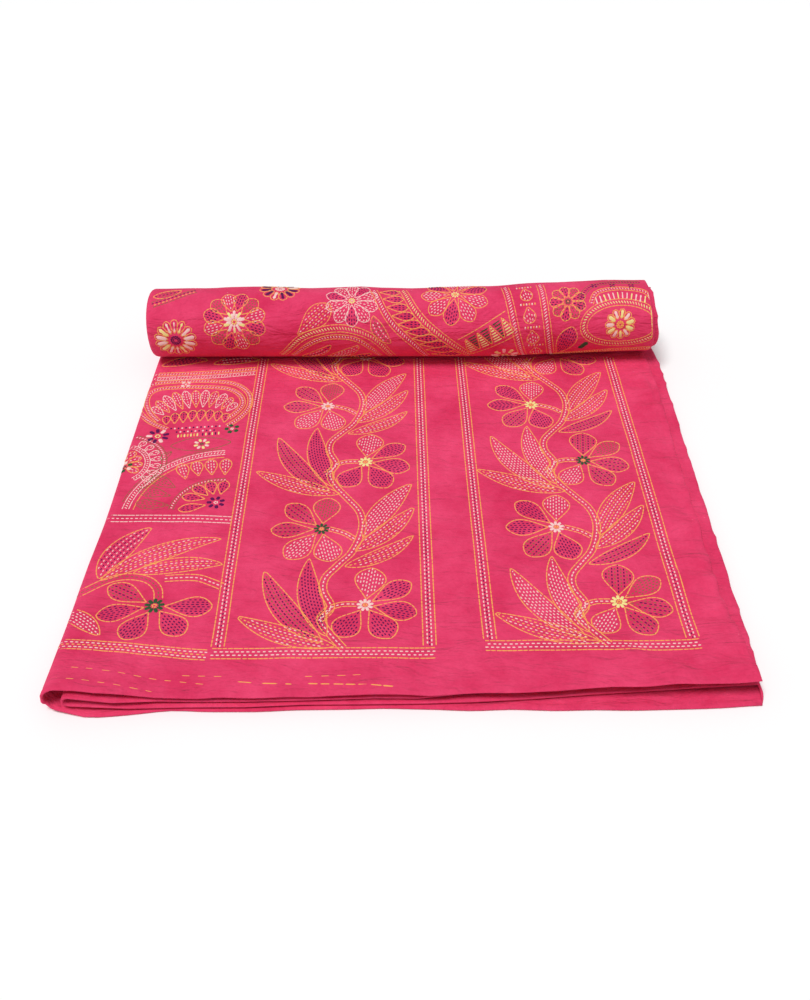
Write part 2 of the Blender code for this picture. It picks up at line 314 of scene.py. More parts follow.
SHARES = {
    name: shares(count, STRAIGHT_LENGTH, hem_first=name == "top", hem_last=name == "second")
    for name, count in STEPS.items()
}


def straight(level, start, end, stretch, along):
    """Points of one layer between two places across."""
    across = start + (end - start) * SHARES[stretch]
    return across, layer_height(level, across, along)


def fold(upper, lower, mouth, depth, stretch, along):
    """Points of a half turn from one layer to another, as deep as depth beyond its mouth."""
    turn = math.pi * SHARES[stretch]
    first = layer_height(upper, mouth, along)
    last = layer_height(lower, mouth, along)
    across = mouth + depth * np.sin(turn)
    return across, (first + last) / 2 + (first - last) / 2 * np.cos(turn)


def section(along):
    """The stack's section at each of the distances along: across and height, one row for each."""
    m = mouths(along)
    stretches = (
        straight(3, m["top hem"], m["outer"], "top", along),
        fold(3, 0, m["outer"], -m["outer depth"], "outer fold", along),
        straight(0, m["outer"], m["right"], "bottom", along),
        fold(0, 1, m["right"], SMALL_FOLD_DEPTH, "right fold", along),
        straight(1, m["right"], m["inner"], "third", along),
        fold(1, 2, m["inner"], -m["small depth"], "inner fold", along),
        straight(2, m["inner"], m["second hem"], "second", along),
    )
    return tuple(np.concatenate([stretch[k] for stretch in stretches], axis=1) for k in (0, 1))


def layer_weights():
    """How much each point of the section belongs to each layer. Folds go over from one to another."""
    runs = (("top", "top", "top"), ("outer fold", "top", "bottom"), ("bottom", "bottom", "bottom"),
            ("right fold", "bottom", "third"), ("third", "third", "third"),
            ("inner fold", "third", "second"), ("second", "second", "second"))
    weights = {layer: [] for layer in LAYERS}
    for stretch, first, last in runs:
        share = SHARES[stretch]
        for layer in LAYERS:
            weights[layer].append((layer == first) * (1 - share) + (layer == last) * share)
    return {layer: np.concatenate(weights[layer]) for layer in LAYERS}


def bend_into_roll(along, height):
    """Where a point of the stack goes: its y and z for a distance along the underside and a height."""
    wound = np.maximum(along - FRONT_TO_ROLL, 0.0)
    root = np.sqrt(ROLL_HEIGHT ** 2 - TURN_PITCH * wound / math.pi)
    angle = (ROLL_HEIGHT - root) * 2 * math.pi / TURN_PITCH
    radius = root - height
    return np.minimum(along, FRONT_TO_ROLL) + radius * np.sin(angle), ROLL_HEIGHT - radius * np.cos(angle)


def drift(across, along):
    """How far the right end lies back."""
    share = (across / FOLDED_WIDTH - BACK_FROM_SHARE) / (BACK_TO_SHARE - BACK_FROM_SHARE)
    return RIGHT_END_BACK * eased(share) * eased((along - BACK_STARTS_AT) / BACK_GROWS_OVER)


def uneven(across, along, y, z):
    """The roll's fuller right end, and the way its axis drifts back there."""
    in_roll = eased((along - ROLL_SHAPE_FROM) / (FRONT_TO_ROLL - ROLL_SHAPE_FROM))
    scale = 1.0 + (read_off(FULLNESS, "scale", across) - 1.0) * in_roll
    past_middle = np.where(along > FRONT_TO_ROLL, y - FRONT_TO_ROLL, 0.0)
    return y + past_middle * (scale - 1.0) + drift(across, along), z * scale


def lean(across, along):
    """How far a point moves to the right because a side leans outwards."""
    share = across / FOLDED_WIDTH
    left = read_off(SIDES, "left", along, "along")
    return share * read_off(SIDES, "right", along, "along") - (1.0 - share) * left


def cloth_half(to_hem, to_end):
    """Half the cloth's thickness: thicker hems, a dip along their stitches, round edges."""
    full = THICKNESS / 2
    edge = np.minimum(to_hem, to_end)
    in_hem = 1.0 - eased((edge - HEM_DEPTH) / HEM_FADE)
    body = full * (BODY_SHARE + (1.0 - BODY_SHARE) * in_hem)
    dip = DIP_SHARE * full * np.exp(-(((edge - HEM_DEPTH + STITCHED_DIP) / STITCHED_DIP) ** 2))
    round_edge = np.sqrt(1.0 - (1.0 - np.clip(edge / full, THINNEST_EDGE, 1.0)) ** 2)
    return (body - dip) * round_edge


def rows_along():
    """Distances along the cloth: close at the hem, even where it lies flat, even angles in the roll."""
    last_root = CORE_RADIUS + TURN_PITCH
    last_angle = (ROLL_HEIGHT - last_root) * 2 * math.pi / TURN_PITCH
    angles = np.linspace(0.0, last_angle, round(last_angle / (2 * math.pi) * STEPS_PER_TURN) + 1)
    roots = ROLL_HEIGHT - TURN_PITCH * angles / (2 * math.pi)
    wound = (ROLL_HEIGHT ** 2 - roots ** 2) * math.pi / TURN_PITCH
    flat = np.arange(HEM_PLACES[-1] + FRONT_STEP, FRONT_TO_ROLL - FRONT_STEP / 2, FRONT_STEP)
    return np.concatenate([HEM_PLACES, flat, FRONT_TO_ROLL + wound])


ROWS = rows_along()
CLOTH_LENGTH = ROWS[-1]


def sheet_sides():
    """The cloth's face, its back, and its flat coordinates across and along."""
    along = ROWS[:, None]
    across, height = section(along)
    step_across, step_height = np.gradient(across, axis=1), np.gradient(height, axis=1)
    length = np.hypot(step_across, step_height)
    steps = np.hypot(np.diff(across, axis=1), np.diff(height, axis=1))
    from_hem = np.concatenate([np.zeros((len(ROWS), 1)), np.cumsum(steps, axis=1)], axis=1)
    to_hem = np.minimum(from_hem, from_hem[:, -1:] - from_hem)
    half = cloth_half(to_hem, np.minimum(along, CLOTH_LENGTH - along))
    setback = sum(w * read_off(FRONT_SETBACKS, layer, across) for layer, w in layer_weights().items())
    setback = setback + FRONT_HEM_WOBBLE * (noise(across, height, 0.034, 0.0035, 9) - 0.5)
    sides = []
    for side in (-1, 1):
        x = across - side * step_height / length * half
        y, z = bend_into_roll(along + setback * looseness(along), height + side * step_across / length * half)
        y, z = uneven(x, along, y, z)
        sides.append(np.stack([x + lean(x, along), y, z], axis=2))
    return sides[0], sides[1], from_hem


FACE, BACK, FROM_HEM = sheet_sides()
SHIFT = np.array([
    (min(FACE[..., k].min(), BACK[..., k].min()) + max(FACE[..., k].max(), BACK[..., k].max())) / 2
    for k in (0, 1)
] + [0.0])


def fitted_to_part(points):
    """Points in the row frame, where the part's own box says that the cloth lies."""
    low, high = (np.array(corner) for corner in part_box("quilt"))
    middle = (low + high) / 2
    return points - SHIFT + np.array([middle[0], middle[1], 0.0])


FACE, BACK = fitted_to_part(FACE), fitted_to_part(BACK)
OUTWARD = FACE - BACK
OUTWARD /= np.maximum(np.linalg.norm(OUTWARD, axis=2, keepdims=True), 1e-9)


def closed_sheet(name, first, second, flat_across, flat_along):
    """A closed mesh between two sides of one grid, with the flat cloth's sizes as its UV map."""
    rows, columns = first.shape[:2]
    size = rows * columns
    index = np.arange(size).reshape(rows, columns)
    quads = np.stack([index[:-1, :-1], index[:-1, 1:], index[1:, 1:], index[1:, :-1]], axis=2).reshape(-1, 4)
    rim = np.concatenate([index[0], index[1:, -1], index[-1, -2::-1], index[-2:0:-1, 0]])
    there = np.roll(rim, -1)
    walls = np.stack([there, rim, rim + size, there + size], axis=1)
    faces = np.concatenate([quads, quads[:, ::-1] + size, walls])
    points = np.concatenate([first.reshape(-1, 3), second.reshape(-1, 3)])
    mesh = bpy.data.meshes.new(name)
    mesh.from_pydata(points.tolist(), [], faces.tolist())
    flat = np.stack([flat_across.ravel(), np.broadcast_to(flat_along, flat_across.shape).ravel()], axis=1)
    flat = np.concatenate([flat, flat])
    corners = np.empty(len(mesh.loops), np.int32)
    mesh.loops.foreach_get("vertex_index", corners)
    mesh.uv_layers.new(name="flat cloth").data.foreach_set("uv", flat[corners].ravel().astype(np.float32))
    mesh.calc_loop_triangles()
    triangles = np.empty(len(mesh.loop_triangles) * 3, np.int32)
    mesh.loop_triangles.foreach_get("vertices", triangles)
    t = points[triangles.reshape(-1, 3)]
    if np.einsum("ij,ij->i", t[:, 0], np.cross(t[:, 1], t[:, 2])).sum() < 0:
        mesh.flip_normals()
    mesh.shade_smooth()
    return mesh


def add(name, mesh, material):
    """A mesh of one material, put into the scene."""
    obj = bpy.data.objects.new(name, mesh)
    mesh.materials.append(material)
    bpy.context.scene.collection.objects.link(obj)
    return obj


def node(tree, kind, **values):
    """A shader node with its properties, or its inputs by their name with _ for a space, set."""
    made = tree.nodes.new(kind)
    for key, value in values.items():
        if hasattr(made, key):
            setattr(made, key, value)
        else:
            made.inputs[key.replace("_", " ")].default_value = value
    return made


def plain_material(name, colour, roughness, sheen=0.0):
    """A material of one colour, with its node tree and its shader."""
    material = bpy.data.materials.new(name)
    material.use_nodes = True
    shader = material.node_tree.nodes["Principled BSDF"]
    shader.inputs["Base Color"].default_value = colour
    shader.inputs["Roughness"].default_value = roughness
    shader.inputs["Sheen Weight"].default_value = sheen
    shader.inputs["Sheen Roughness"].default_value = 0.5
    shader.inputs["Specular IOR Level"].default_value = 0.12
    return material, material.node_tree, shader


def cloth_material():
    """Pink cotton: an uneven dye, small puckers and a fine weave."""
    material, tree, shader = plain_material("pink_cotton", CLOTH, 0.9, 0.03)
    link = tree.links.new
    flat = node(tree, "ShaderNodeUVMap", uv_map="flat cloth")
    dye = node(tree, "ShaderNodeTexNoise", Scale=14.0, Detail=5.0, Roughness=0.7)
    contrast = node(tree, "ShaderNodeMapRange", From_Min=0.32, From_Max=0.68)
    stretched = node(tree, "ShaderNodeMapping", Scale=(0.7, 1.7, 1.0))
    slub = node(tree, "ShaderNodeTexNoise", Scale=420.0, Detail=2.0)
    mixed = node(tree, "ShaderNodeMix", data_type="RGBA")
    mixed.inputs["A"].default_value = CLOTH_DEEP
    mixed.inputs["B"].default_value = CLOTH_BRIGHT
    speckled = node(tree, "ShaderNodeMix", data_type="RGBA", blend_type="MULTIPLY")
    speckled.inputs["Factor"].default_value = 0.16
    puckers = node(tree, "ShaderNodeTexNoise", Scale=170.0, Detail=3.0, Roughness=0.6)
    folds = node(tree, "ShaderNodeTexNoise", Scale=30.0, Detail=3.0, Roughness=0.6, Distortion=0.8)
    rough = node(tree, "ShaderNodeBump", Strength=0.60, Distance=0.0019)
    soft = node(tree, "ShaderNodeBump", Strength=0.65, Distance=0.0085)
    link(flat.outputs["UV"], stretched.inputs["Vector"])
    for texture in (dye, slub):
        link(flat.outputs["UV"], texture.inputs["Vector"])
    for texture in (puckers, folds):
        link(stretched.outputs["Vector"], texture.inputs["Vector"])
    link(dye.outputs["Fac"], contrast.inputs["Value"])
    link(contrast.outputs["Result"], mixed.inputs["Factor"])
    link(mixed.outputs["Result"], speckled.inputs["A"])
    link(slub.outputs["Fac"], speckled.inputs["B"])
    link(speckled.outputs["Result"], shader.inputs["Base Color"])
    link(folds.outputs["Fac"], soft.inputs["Height"])
    link(puckers.outputs["Fac"], rough.inputs["Height"])
    link(soft.outputs["Normal"], rough.inputs["Normal"])
    link(rough.outputs["Normal"], shader.inputs["Normal"])
    return material


# The stitches. Places on the flat cloth are in millimetres: across from near the left fold, and along
# from the front. On the roll, along is counted from where the cloth leaves the floor.
SEWN = {colour: [] for colour in THREADS}

# Kinds of stitch: length, gap and the thread's width. A gap below 0 means that the stitches overlap.
LINE = (5.4, -0.9, 1.5)
RUNNING = (3.1, 1.6, 1.6)
DENSE = (3.0, 1.3, 1.85)
SATIN = (2.4, 0.1, 2.0)
IN_BAND = (3.4, 1.2, 1.8)
BAND_CENTRE = (2.5, 2.1, 1.5)
LOOSE = (8.0, 5.0, 0.8)
DARK = ("plum", "olive", "green")   # threads that fill a petal with dense stitches
ROWS_APART = {RUNNING: 2.8, DENSE: 2.7}
ROW_STAGGER = 2.3
EDGE_MARGIN = 1.1                   # between a petal's outline and its rows
ROPE_SLANT, ROPE_THREAD = 0.6, 1.6


def sew(place, colour, segments, width):
    """Notes down stitches: rows of start and end, each across and along."""
    if len(segments):
        SEWN[colour].append((place, np.asarray(segments, float), width))


def points_at(path, distances):
    """Places on a path at distances from its start."""
    steps = np.hypot(*np.diff(path, axis=0).T)
    total = np.concatenate([[0.0], np.cumsum(steps)])
    return np.stack([np.interp(distances, total, path[:, k]) for k in (0, 1)], axis=1)


def length_of(path):
    return float(np.hypot(*np.diff(path, axis=0).T).sum())


def smooth(points, steps=8):
    """A smooth path through the points."""
    points = np.asarray(points, float)
    padded = np.concatenate([[2 * points[0] - points[1]], points, [2 * points[-1] - points[-2]]])
    t = (np.arange(steps) / steps)[:, None]
    path = []
    for a, b, c, d in zip(padded, padded[1:], padded[2:], padded[3:]):
        path.append(0.5 * (2 * b + (c - a) * t + (2 * a - 5 * b + 4 * c - d) * t ** 2
                           + (3 * b - a - 3 * c + d) * t ** 3))
    return np.concatenate(path + [points[-1:]])


def as_path(points):
    """A smooth path through places that are listed. An array is a path already."""
    return points if isinstance(points, np.ndarray) else smooth(points)


def sideways(path):
    """Unit steps to the left of the path's way."""
    way = np.gradient(path, axis=0)
    way /= np.maximum(np.hypot(way[:, 0], way[:, 1]), 1e-9)[:, None]
    return np.stack([-way[:, 1], way[:, 0]], axis=1)


def running(place, colour, points, kind=RUNNING, start=0.0):
    """A row of stitches along a path."""
    path = as_path(points)
    stitch, gap, width = kind
    total = length_of(path)
    starts = np.arange(start, total - 0.4 * stitch, stitch + gap)
    starts = starts + RANDOM.uniform(-0.25, 0.25, len(starts)) * min(gap, 1.0)
    ends = np.minimum(starts + stitch * RANDOM.uniform(0.88, 1.12, len(starts)), total)
    sew(place, colour, np.hstack([points_at(path, starts), points_at(path, ends)]), width)


def outline(place, colour, path):
    running(place, colour, path, LINE)


def arc(centre, radius, first=0, last=360, squash=1.0):
    """A path round a centre, between two angles in degrees counted from the right."""
    count = max(5, int(abs(last - first) / 7))
    angle = np.radians(np.linspace(first, last, count))
    return np.stack([centre[0] + radius * np.cos(angle), centre[1] + squash * radius * np.sin(angle)], axis=1)


def blade(place, centre, half, fills, line):
    """A petal or leaf: its outline, and rows of running stitches beside its middle line."""
    side = sideways(centre)
    left = centre + side * half[:, None]
    right = centre - side * half[:, None]
    outline(place, line, np.concatenate([left, right[::-1]]))
    if not fills:
        return
    kind = DENSE if fills[0] in DARK else RUNNING
    apart = ROWS_APART[kind]
    reach = max(int((half.max() - EDGE_MARGIN) / apart), 0)
    for row in range(-reach, reach + 1):
        inside = half - abs(row * apart) > EDGE_MARGIN
        if inside.sum() > 2:
            path = (centre + side * row * apart)[inside]
            running(place, fills[row % len(fills)], path, kind, start=0.5 + ROW_STAGGER * (row % 2))


def drop(place, base, tip, width, fills, line="gold"):
    """A petal, narrow at its base and round at its tip."""
    base, tip = np.asarray(base, float), np.asarray(tip, float)
    share = (1 - np.cos(np.linspace(0, math.pi, 19))) / 2
    half = width / 2 * np.sin(math.pi * share ** 1.55) ** 0.72
    blade(place, base + (tip - base) * share[:, None], np.nan_to_num(half), fills, line)


def leaf(place, base, tip, width, bow, fills, line="gold"):
    """A pointed leaf, bowed to the left of its way when bow is positive."""
    base, tip = np.asarray(base, float), np.asarray(tip, float)
    share = np.linspace(0, 1, 23)
    way = (tip - base) / np.hypot(*(tip - base))
    bulge = bow * 4 * share * (1 - share)
    centre = base + (tip - base) * share[:, None] + np.outer(bulge, [-way[1], way[0]])
    half = width / 2 * np.sin(math.pi * share ** 0.9) ** 0.8
    blade(place, centre, np.nan_to_num(half), fills, line)


def two_edges(place, path, width, line):
    side = sideways(path)
    for edge in (-0.5, 0.5):
        outline(place, line, path + side * width * edge)
    return side


def band(place, points, width, fills, line="gold"):
    """Two outlines with rows of running stitches between them."""
    path = as_path(points)
    side = two_edges(place, path, width, line)
    for row, colour in enumerate(fills):
        offset = width * ((row + 1) / (len(fills) + 1) - 0.5)
        running(place, colour, path + side * offset, IN_BAND, start=ROW_STAGGER * (row % 2))


def rope(place, points, width, colour, line="gold", pitch=3.3):
    """Two outlines with short slanted stitches between them, as in a twisted rope."""
    path = as_path(points)
    two_edges(place, path, width, line)
    spots = np.arange(pitch / 2, length_of(path), pitch)
    if len(spots) < 2:
        return
    middle = points_at(path, spots)
    side = sideways(middle)
    way = np.stack([side[:, 1], -side[:, 0]], axis=1)
    arm = (side + way * ROPE_SLANT) * width / 4
    sew(place, colour, np.hstack([middle - arm, middle + arm]), ROPE_THREAD)


def heart(place, centre, radius, colour, line):
    """A flower's filled middle: short thick stitches from a ring of small ones."""
    angles = np.radians(np.arange(9) * 40.0 + 12.0)
    ways = np.stack([np.cos(angles), np.sin(angles)], axis=1)
    petals = np.hstack([centre + ways * radius * 0.3, centre + ways * radius * 1.12])
    sew(place, colour, petals, radius * 0.50)
    running(place, line, arc(centre, radius * 0.25), SATIN)


def flower(place, centre, petals, middle, radius=7.2):
    """Petals from a table of tip across, tip along, width and colours, round a filled middle."""
    centre = np.asarray(centre, float)
    for across, along, width, fills in petals:
        way = np.array([across, along], float)
        drop(place, centre + way / np.hypot(*way) * radius, centre + way, width, fills)
    heart(place, centre, radius, middle, "gold")


def fan(place, centre, inner, outer, count, width, fills, line="gold", first=0.0, last=360.0):
    """Petals that point outwards, side by side between two circles and two angles."""
    centre = np.asarray(centre, float)
    for k in range(count):
        angle = math.radians(first + (last - first) * (k + 0.5) / count)
        way = np.array([math.cos(angle), math.sin(angle)])
        colours = fills and (fills[k % len(fills)],)
        drop(place, centre + way * inner, centre + way * outer, width, colours, line)


def daisy(place, centre, hub, radius, count, width, fills, middle, line="gold"):
    """Petals with rows of stitches all round a filled middle."""
    fan(place, centre, hub, radius, count, width, fills, line)
    heart(place, np.asarray(centre, float), hub * 0.8, middle, line)


def small_daisy(place, centre, radius, count, colours, middle):
    """A daisy of short thick petals, each of one satin stitch."""
    angles = np.radians(360.0 * (np.arange(count) + 0.5) / count)
    ways = np.stack([np.cos(angles), np.sin(angles)], axis=1)
    centre = np.asarray(centre, float)
    petals = np.hstack([centre + ways * radius * 0.38, centre + ways * radius])
    for k, colour in enumerate(colours):
        sew(place, colour, petals[k::len(colours)], radius * 3.4 / count)
    running(place, middle, arc(centre, radius * 0.2), SATIN)


def satin_daisy(place, centre, radius, count, colours, middle):
    """A daisy of filled petals with outlines round them, and a ringed middle."""
    small_daisy(place, centre, radius * 0.93, count, colours, middle)
    fan(place, centre, radius * 0.34, radius, count, radius * 5.2 / count, ())
    for share in (0.12, 0.22):
        running(place, middle, arc(centre, radius * share), SATIN)


def ladder(place, first, second, count, width, fills, lines=("gold",), inset=0.0):
    """Petals that reach from one path to another."""
    ends = []
    for path in (smooth(first), smooth(second)):
        ends.append(points_at(path, length_of(path) * (np.arange(count) + 0.5) / count))
    for k, (start, end) in enumerate(zip(*ends)):
        reach = (end - start) * inset
        drop(place, start + reach, end - reach, width, (fills[k % len(fills)],), lines[k % len(lines)])


def teeth(place, points, height, pitch, colours):
    """Thick stitches across a path, side by side."""
    path = as_path(points)
    middle = points_at(path, np.arange(pitch / 2, length_of(path), pitch))
    side = sideways(middle) * height / 2
    for k, colour in enumerate(colours):
        rows = np.hstack([middle - side, middle + side])[k::len(colours)]
        sew(place, colour, rows, pitch * 0.68)


def zigzag(place, start, end, height, count, colours):
    """Filled triangles that stand and hang by turns between two lines."""
    start, end = np.asarray(start, float), np.asarray(end, float)
    step = (end - start) / count / 2
    side = np.array([-step[1], step[0]]) / np.hypot(*step) * height
    for k in range(2 * count - 1):
        first = start + step * k + side * (k % 2)
        peak = first + step + side * (1 - 2 * (k % 2))
        last = first + 2 * step
        outline(place, "gold", np.array([first, peak, last]))
        for row in np.linspace(0.1, 0.8, 6):
            left = first + (peak - first) * row + step * 0.16 * (1 - row)
            right = last + (peak - last) * row - step * 0.16 * (1 - row)
            sew(place, colours[k % len(colours)], [np.concatenate([left, right])], 2.4)
    for edge in (-0.12, 1.12):
        outline(place, "gold", np.array([start + side * edge, end + side * edge]))


# One repeat of the vine, from the left panel. The other repeats and the other panel are the same.
VINE_PERIOD = 198.0
VINE_LEAN = -4.5
VINE_REPEATS = 3
STEM_WIDTH, BRANCH_WIDTH = 7.0, 5.5
STEM_FILLS = ("white",)
STEM = (
    (213, 91), (223, 107), (215, 127), (216, 144), (227, 160), (238, 175), (245, 194), (248, 214),
    (244, 234), (233, 251), (220, 270), (213, 288), (218, 305),
)
STEM_FOOT = ((236, 58), (226, 72), (217, 86), (215, 96), (223, 107))
BRANCHES = (((223, 107), (233, 111), (246, 111)), ((241, 194), (231, 202), (216, 208)))
LEAVES = {
    "base": ((229, 61), (218, 65), (221, 72), (249, 196), (242, 178), (233, 158)),
    "tip": ((141, 97), (160, 152), (200, 169), (296, 274), (298, 239), (297, 199)),
    "width": (20, 23, 22, 24, 20, 17),
    "bow": (5, 8, 7, 3.5, -4, -6),
}
RIGHT_FLOWER, LEFT_FLOWER = (253.0, 110.0), (209.0, 208.0)
RIGHT_PETALS = ((6, 46, 29), (41, 28, 22), (46, -11, 24), (24, -40, 26), (-23, -38, 26))
LEFT_PETALS = ((5, 45, 27), (-36, 36, 23), (-49, -1, 22), (-31, -40, 26), (11, -44, 27))
VINE_COLOURS = {
    "left": {
        "leaves": (("gold", "white"), ("olive", "plum"), ("plum", "plum"), ("white",), ("white", "gold"),
                   ("gold", "white")),
        "right": (("white",), ("plum",), ("plum",), ("plum",), ("plum",)),
        "left": (("olive",), ("olive", "plum"), ("olive", "plum"), ("white",), ("white",)),
        "hearts": (("white", "green"), ("yellow", "white"), ("white", "white")),
    },
    "right": {
        "leaves": (("gold", "white"), ("white",), ("white",), ("white", "gold"), ("white", "gold"),
                   ("plum", "olive")),
        "right": (("plum", "olive"), ("olive",), ("olive", "plum"), ("olive", "plum"), ("white",)),
        "left": (("white",), ("plum",), ("plum",), ("olive", "plum"), ("plum",)),
        "hearts": (("yellow", "white"), ("green", "yellow"), ("white", "white")),
    },
}
PANELS = {
    "left": {"shift": (0.0, 0.0), "edges": ((129.5, 54.5), (309.0, 54.0))},
    "right": {"shift": (225.0, 3.0), "edges": ((360.5, 61.0), (533.0, 61.0))},
}
PANEL_MIDDLE, PANEL_TOP = 260.0, 528.0
SIDE_LEANS = (-6.0, -3.0)
BAND_WIDTH = 11.0


def vine_repeat(shift, colours, repeat):
    """One repeat: a stretch of stem, two flowers on their branches, and six leaves."""
    move = np.array(shift) + (repeat * VINE_LEAN, repeat * VINE_PERIOD)
    band("top", smooth(np.array(STEM) + move), STEM_WIDTH, STEM_FILLS)
    for branch in BRANCHES:
        band("top", smooth(np.array(branch) + move), BRANCH_WIDTH, STEM_FILLS)
    for base, tip, width, bow, fills in zip(*LEAVES.values(), colours["leaves"]):
        leaf("top", np.array(base) + move, np.array(tip) + move, width, bow, fills)
    hearts = colours["hearts"][repeat]
    for middle, petals, side, heart_colour in (
        (RIGHT_FLOWER, RIGHT_PETALS, "right", hearts[0]), (LEFT_FLOWER, LEFT_PETALS, "left", hearts[1]),
    ):
        coloured = [petal + (fills,) for petal, fills in zip(petals, colours[side])]
        flower("top", np.array(middle) + move, coloured, heart_colour)


def vine_panel(name):
    """A vine between its borders."""
    shift = PANELS[name]["shift"]
    (left, bottom), (right, bottom_right) = PANELS[name]["edges"]
    band("top", [(left - 5, bottom), ((left + right) / 2, bottom - 1), (right + 5, bottom_right)],
         BAND_WIDTH, ("white", "white"))
    for edge, end in zip((left, right), SIDE_LEANS):
        path = smooth([(edge, bottom + 7), (edge + end / 2, PANEL_MIDDLE), (edge + end, PANEL_TOP)], 30)
        band("top", path, BAND_WIDTH, ("white", "white"))
        running("top", "plum", path, BAND_CENTRE)
    band("top", smooth(np.array(STEM_FOOT) + shift), STEM_WIDTH, STEM_FILLS)
    for repeat in range(VINE_REPEATS):
        vine_repeat(shift, VINE_COLOURS[name], repeat)


# The left field: a flower, a fan of petals in arcs, and a lotus with a dark crown under it.
FIELD_PETALS = ((-46, 25, 22, ("olive", "plum")), (-49, -13, 22, ("plum",)), (-19, -42, 25, ("plum",)),
                (31, -35, 24, ("plum",)), (52, -2, 24, ("plum",)))
FAN_HUB = (107, 234)
FAN_PETALS = {
    "base": ((60, 268), (57, 256), (58, 242), (68, 281), (80, 286), (93, 288), (106, 289),
             (94, 241), (92, 250), (94, 255), (99, 257), (106, 257)),
    "tip": ((31, 287), (22, 268), (23, 247), (58, 308), (73, 312), (88, 315), (104, 316),
            (67, 235), (68, 255), (77, 271), (92, 279), (108, 280)),
    "width": (15, 15, 14, 13, 13, 13, 13, 12, 12, 12, 12, 12),
    "colours": (("olive", "olive"),) * 3 + (("gold", "white"),) * 4 + (("gold", "plum"),) * 5,
}
SIDE_HUB = (-6, 306)
LOTUS_ROPES = (
    ((22, 380), (10, 396), (3, 414), (3, 430), (12, 440), (30, 443), (62, 444), (90, 441), (105, 428),
     (110, 410), (104, 394), (97, 384)),
    ((34, 366), (12, 380), (-3, 402), (-6, 432), (4, 450), (30, 455), (62, 456), (94, 452), (113, 434),
     (118, 408), (110, 386), (98, 370)),
)
LOTUS_FOOT = ((23, 390), (41, 400), (60, 404), (80, 403), (97, 395))
LOTUS_TIPS = ((9, 401), (14, 421), (28, 434), (50, 438), (72, 438), (93, 429), (106, 408))
CROWN_FOOT = ((27, 373), (42, 376), (63, 379), (84, 379), (98, 375))
CROWN_TOP = ((25, 388), (41, 397), (60, 401), (81, 400), (99, 392))


def left_field():
    """The half of the quilt's middle field that shows beside the left panel."""
    band("top", [(-14, 64), (60, 58), (122, 53)], BAND_WIDTH, ("white", "gold", "white"))
    band("top", [(-14, 226), (60, 223), (122, 220)], 9.0, ("white",), "white")
    band("top", [(-14, 120), (-3, 126), (19, 142), (37, 146), (55, 142), (66, 131), (69, 118)],
         7.5, ("olive",))
    band("top", [(70, 143), (98, 144), (113, 138), (124, 132)], 7.5, ("white",))
    leaf("top", (10, 144), (47, 211), 25, 7, ("white", "plum"))
    leaf("top", (12, 142), (116, 194), 22, 9, ("white", "gold"))
    leaf("top", (40, 150), (122, 160), 19, 5, ("gold", "white"))
    leaf("top", (-14, 106), (28, 72), 17, 3, ("white",))
    flower("top", (67, 110), FIELD_PETALS, "green", radius=8.5)

    rope("top", arc(FAN_HUB, 92, 93, 178), 6.5, "white", "white")
    outline("top", "gold", arc(FAN_HUB, 84, 93, 178))
    outline("top", "olive", arc(FAN_HUB, 98, 95, 172))
    rope("top", arc(FAN_HUB, 47, 88, 178), 4.5, "white", "olive")
    for base, tip, width, (line, fill) in zip(*FAN_PETALS.values()):
        drop("top", base, tip, width, (fill,), line)
    small_daisy("top", (103, 245), 9.5, 7, ("plum",), "white")

    for radius, colour in ((30, "white"), (47, "olive")):
        rope("top", arc(SIDE_HUB, radius, -50, 78), 5.0, "white", colour)
    fan("top", SIDE_HUB, 8, 26, 4, 9, ("white",), "gold", -40, 70)
    fan("top", SIDE_HUB, 32, 45, 7, 8, ("white",), "white", -42, 70)
    leaf("top", (38, 312), (46, 328), 8, 2, ("olive",), "olive")
    small_daisy("top", (1, 303), 9, 6, ("green", "white"), "green")

    small_daisy("top", (26, 354), 13, 9, ("plum", "white", "plum"), "yellow")
    leaf("top", (42, 337), (107, 343), 22, 0, (), "olive")
    small_daisy("top", (75, 340), 9, 8, ("yellow", "white"), "green")
    teeth("top", [(46, 354), (70, 356)], 6.5, 3.4, ("yellow", "gold"))
    teeth("top", [(72, 356), (94, 358)], 6.0, 3.4, ("plum", "yellow"))

    for points in LOTUS_ROPES:
        rope("top", points, 5.5, "white")
    ladder("top", LOTUS_FOOT, LOTUS_TIPS, 11, 10, ("white",), ("white", "gold"))
    ladder("top", CROWN_FOOT, CROWN_TOP, 8, 9.5, ("plum",))
    teeth("top", [(36, 367), (90, 370)], 3, 4, ("plum", "white"))
    teeth("top", [(43, 361), (87, 363)], 3, 4, ("plum", "white"))
    small_daisy("top", (41, 449.5), 6.5, 4, ("white",), "white")
    small_daisy("top", (104, 365), 8.5, 5, ("green",), "white")
    rope("top", [(-8, 460), (63, 465), (118, 473)], 6, "white", "white")
    rope("top", [(-8, 469), (62, 474), (118, 482)], 6, "white")
    leaf("top", (6, 488), (60, 500), 16, 4, ("plum",))
    leaf("top", (66, 492), (120, 500), 16, 4, ("plum", "white"))


def front_dashes():
    """Long loose stitches that show through in the front margin."""
    for ends in ([(13, 35), (125, 22)], [(0, 23), (84, 13)], [(104, 31), (140, 30)], [(205, 29), (258, 29)]):
        running("top", "gold", ends, LOOSE)
    running("top", "gold", [(150, 24), (196, 21)], (15.0, 5.0, 1.5))
    running("top", "gold", [(208, 22), (282, 17)], (10.0, 0.2, 1.5))


# The two ropes on the roll with petals between them.
ROPE_OUTER = ((254, 133), (264, 160), (275, 178), (290, 194), (304, 209), (316, 228))
ROPE_INNER = ((287, 131), (298, 158), (311, 176), (327, 190), (344, 204), (367, 226))


